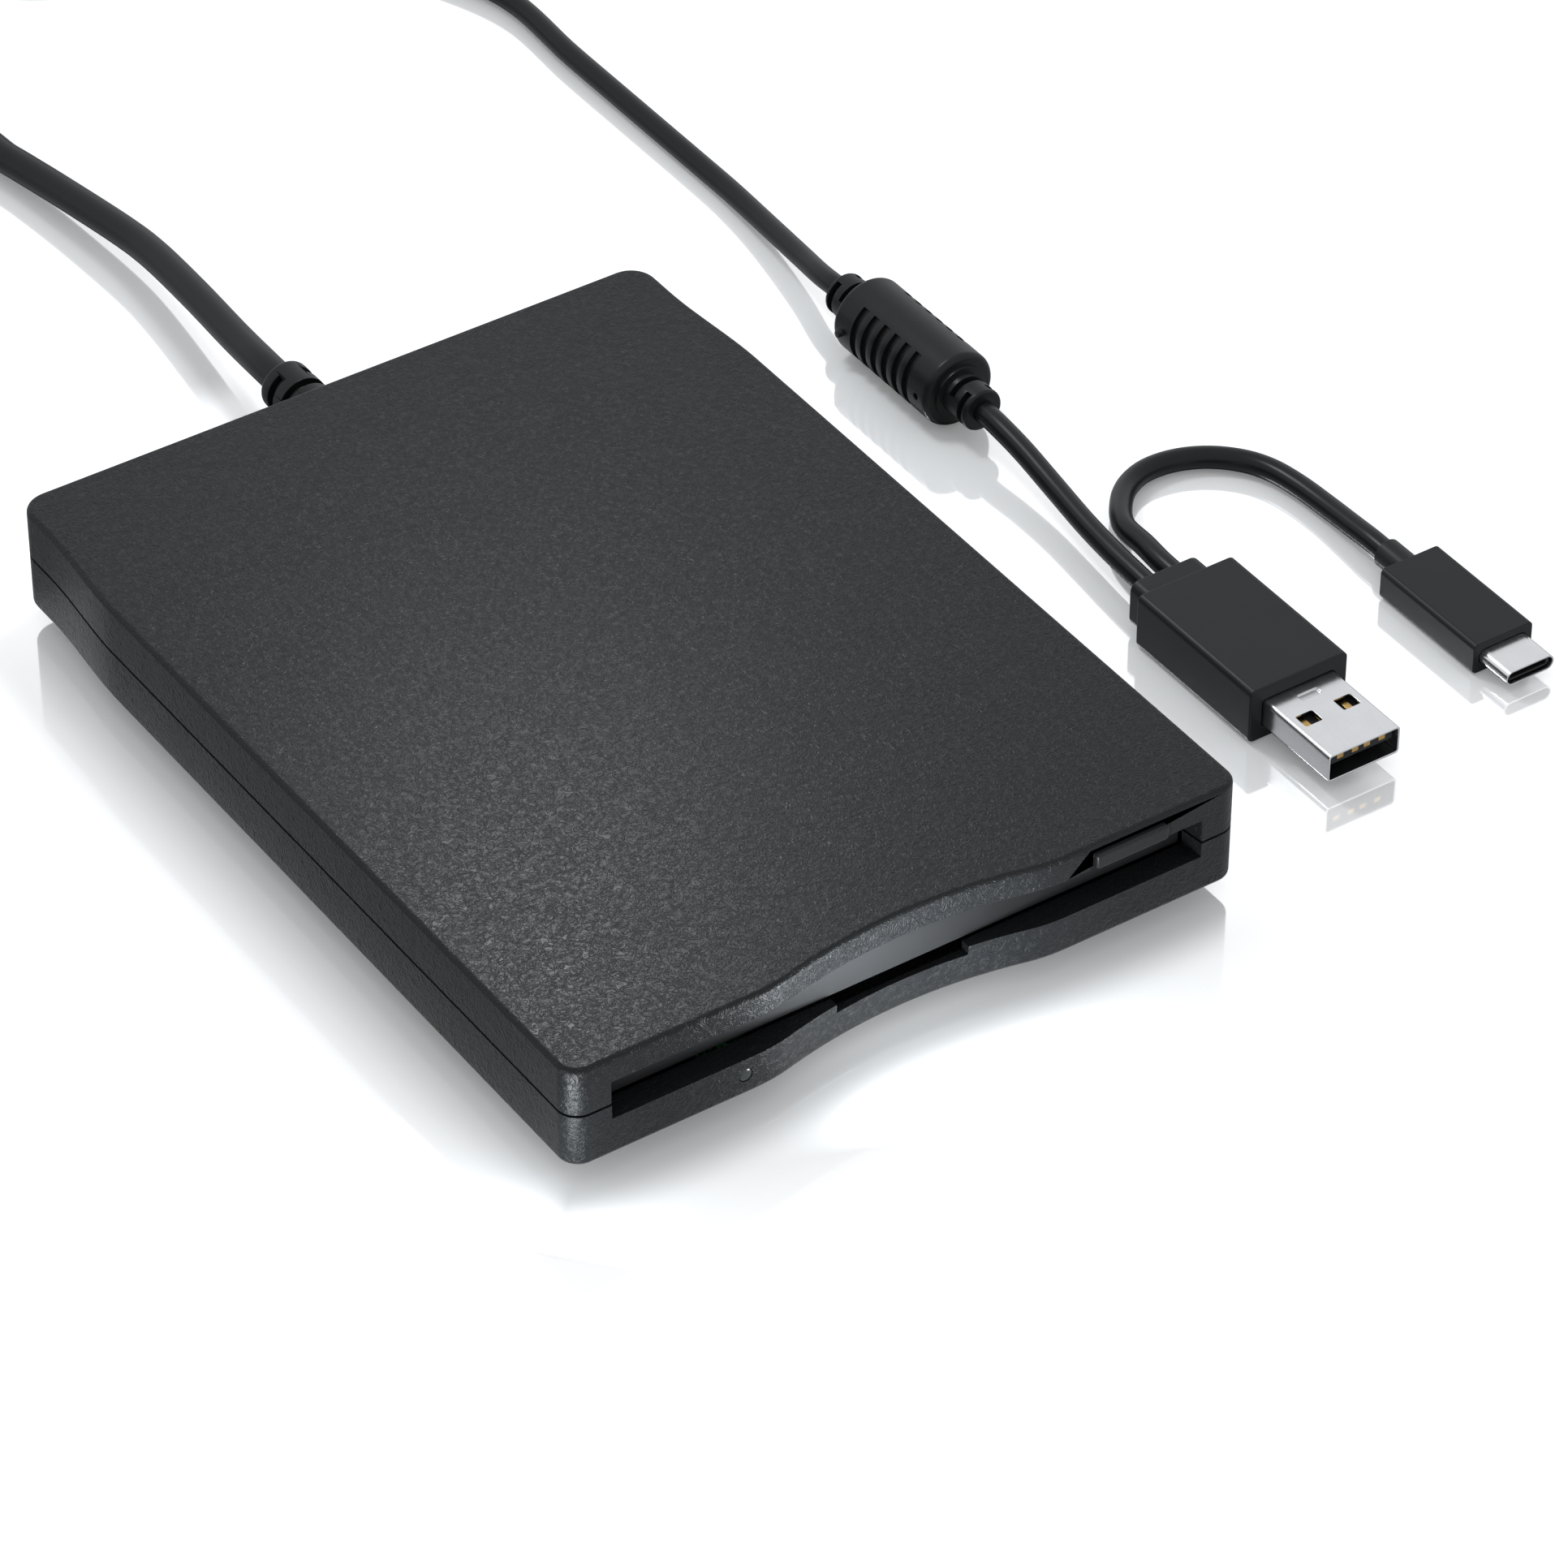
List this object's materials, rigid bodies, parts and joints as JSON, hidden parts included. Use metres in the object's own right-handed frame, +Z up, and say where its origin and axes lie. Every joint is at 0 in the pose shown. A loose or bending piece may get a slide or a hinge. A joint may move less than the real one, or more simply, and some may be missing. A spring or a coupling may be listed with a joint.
{
  "type": "external floppy disk drive",
  "caption": "Flat black external floppy disk drive with a scooped slot front, eject button, cable with ferrite, USB-A plug and short USB-C pigtail.",
  "frame": {"origin": "on the table, under the middle of the drive with its eject button, cable left out", "axes": "+X to the right seen from the slot side, +Y from the slot to the cable gland, +Z up"},
  "size_m": [0.1685, 0.3231, 0.019],
  "materials": {
    "case": "fine grain",
    "case_lower": "fine grain",
    "button": "satin",
    "lens": "smooth",
    "door": "matte",
    "foot": "matte",
    "black_steel": "black oxide",
    "cable": "satin",
    "tie": "woven",
    "ferrite": "satin",
    "overmould": "satin",
    "nickel": "nickel plated",
    "insulator": "matte",
    "steel": "zinc plated sheet",
    "brass": "turned",
    "copper": "wound copper",
    "board": "solder mask",
    "resin": "moulded",
    "head": "polished",
    "nylon": "natural",
    "film": "polyimide"
  },
  "bodies": {
    "drive": {"top_case": "case", "bottom_case": "case_lower", "led_lens": "lens", "activity_led": "board", "foot_front_left": "foot", "foot_front_right": "foot", "foot_back_left": "foot", "foot_back_right": "foot", "case_screw_front_left": "black_steel", "case_screw_front_right": "black_steel", "case_screw_back_left": "black_steel", "case_screw_back_right": "black_steel", "cable_gland": "cable", "cord_at_drive": "cable", "cord_coil": "cable", "coil_tie": "tie", "cord_to_ferrite": "cable", "ferrite_choke": "ferrite", "cord_to_plug": "cable", "pigtail_cord": "cable", "cable_core": "cable", "usb_a_overmould": "overmould", "usb_a_shell": "nickel", "usb_a_tongue": "insulator", "usb_c_overmould": "overmould", "usb_c_shell": "nickel", "usb_c_insert": "insulator", "chassis": "steel", "mechanism_cover": "steel", "chassis_screw_front": "black_steel", "chassis_screw_back": "black_steel", "spindle_bearing": "brass", "stator": "copper", "motor_board": "board", "guide_rod": "steel", "screw_bracket": "steel", "stepper_motor": "steel", "main_board": "board", "cable_header": "nylon", "ribbon_cable": "film", "density_switch": "insulator", "write_protect_switch": "insulator"},
    "slider": {"slider_frame": "steel", "slider_spring": "steel", "eject_button": "button"},
    "holder": {"disk_holder": "steel"},
    "lever": {"shutter_lever": "steel"},
    "door": {"dust_door": "door"},
    "spindle": {"spindle_rotor": "steel", "spindle_hub": "steel", "drive_pin": "brass"},
    "carriage": {"head_carriage": "resin", "lower_head": "head", "arm_hinge_pin": "steel"},
    "upper_arm": {"upper_head_arm": "resin", "upper_head": "head"},
    "screw": {"lead_screw": "steel"},
    "density_key": {"density_plunger": "resin"},
    "write_protect_key": {"write_protect_plunger": "resin"}
  },
  "joints": [
    {"name": "eject_slide", "type": "slide", "parent": "drive", "child": "slider", "axis": [0, -1, 0], "range_m": [0, 0.006]},
    {"name": "holder_lift", "type": "slide", "parent": "drive", "child": "holder", "axis": [0, 0, -1], "range_m": [0, 0.0016]},
    {"name": "shutter_lever_swing", "type": "hinge", "parent": "holder", "child": "lever", "pos_m": [-0.036, 0.035, 0.01535], "axis": [0, 0, 1], "range_deg": [0, 80], "stiffness_Nm_per_rad": 0.0005},
    {"name": "dust_door_hinge", "type": "hinge", "parent": "drive", "child": "door", "pos_m": [0, -0.0657, 0.0146], "axis": [1, 0, 0], "range_deg": [0, 90], "stiffness_Nm_per_rad": 0.0005},
    {"name": "spindle_spin", "type": "hinge", "parent": "drive", "child": "spindle", "pos_m": [0, -0.008, 0.0082], "axis": [0, 0, 1], "continuous": true},
    {"name": "lead_screw_spin", "type": "hinge", "parent": "drive", "child": "screw", "pos_m": [0.013, 0.045, 0.0096], "axis": [0, 1, 0], "range_deg": [0, 1776.5]},
    {"name": "carriage_slide", "type": "slide", "parent": "drive", "child": "carriage", "axis": [0, -1, 0], "range_m": [0, 0.0148]},
    {"name": "upper_arm_hinge", "type": "hinge", "parent": "carriage", "child": "upper_arm", "pos_m": [0, 0.057, 0.0146], "axis": [1, 0, 0], "range_deg": [0, 8.01]},
    {"name": "density_key_slide", "type": "slide", "parent": "drive", "child": "density_key", "axis": [0, 0, -1], "range_m": [0, 0.0012], "stiffness_N_per_m": 20},
    {"name": "write_protect_key_slide", "type": "slide", "parent": "drive", "child": "write_protect_key", "axis": [0, 0, -1], "range_m": [0, 0.0012], "stiffness_N_per_m": 20}
  ],
  "couplings": [
    {"joint": "holder_lift", "follows": "eject_slide", "ratio": 0.26667},
    {"joint": "upper_arm_hinge", "follows": "eject_slide", "rad_per_m": 23.271},
    {"joint": "lead_screw_spin", "follows": "carriage_slide", "rad_per_m": 2094.4}
  ]
}
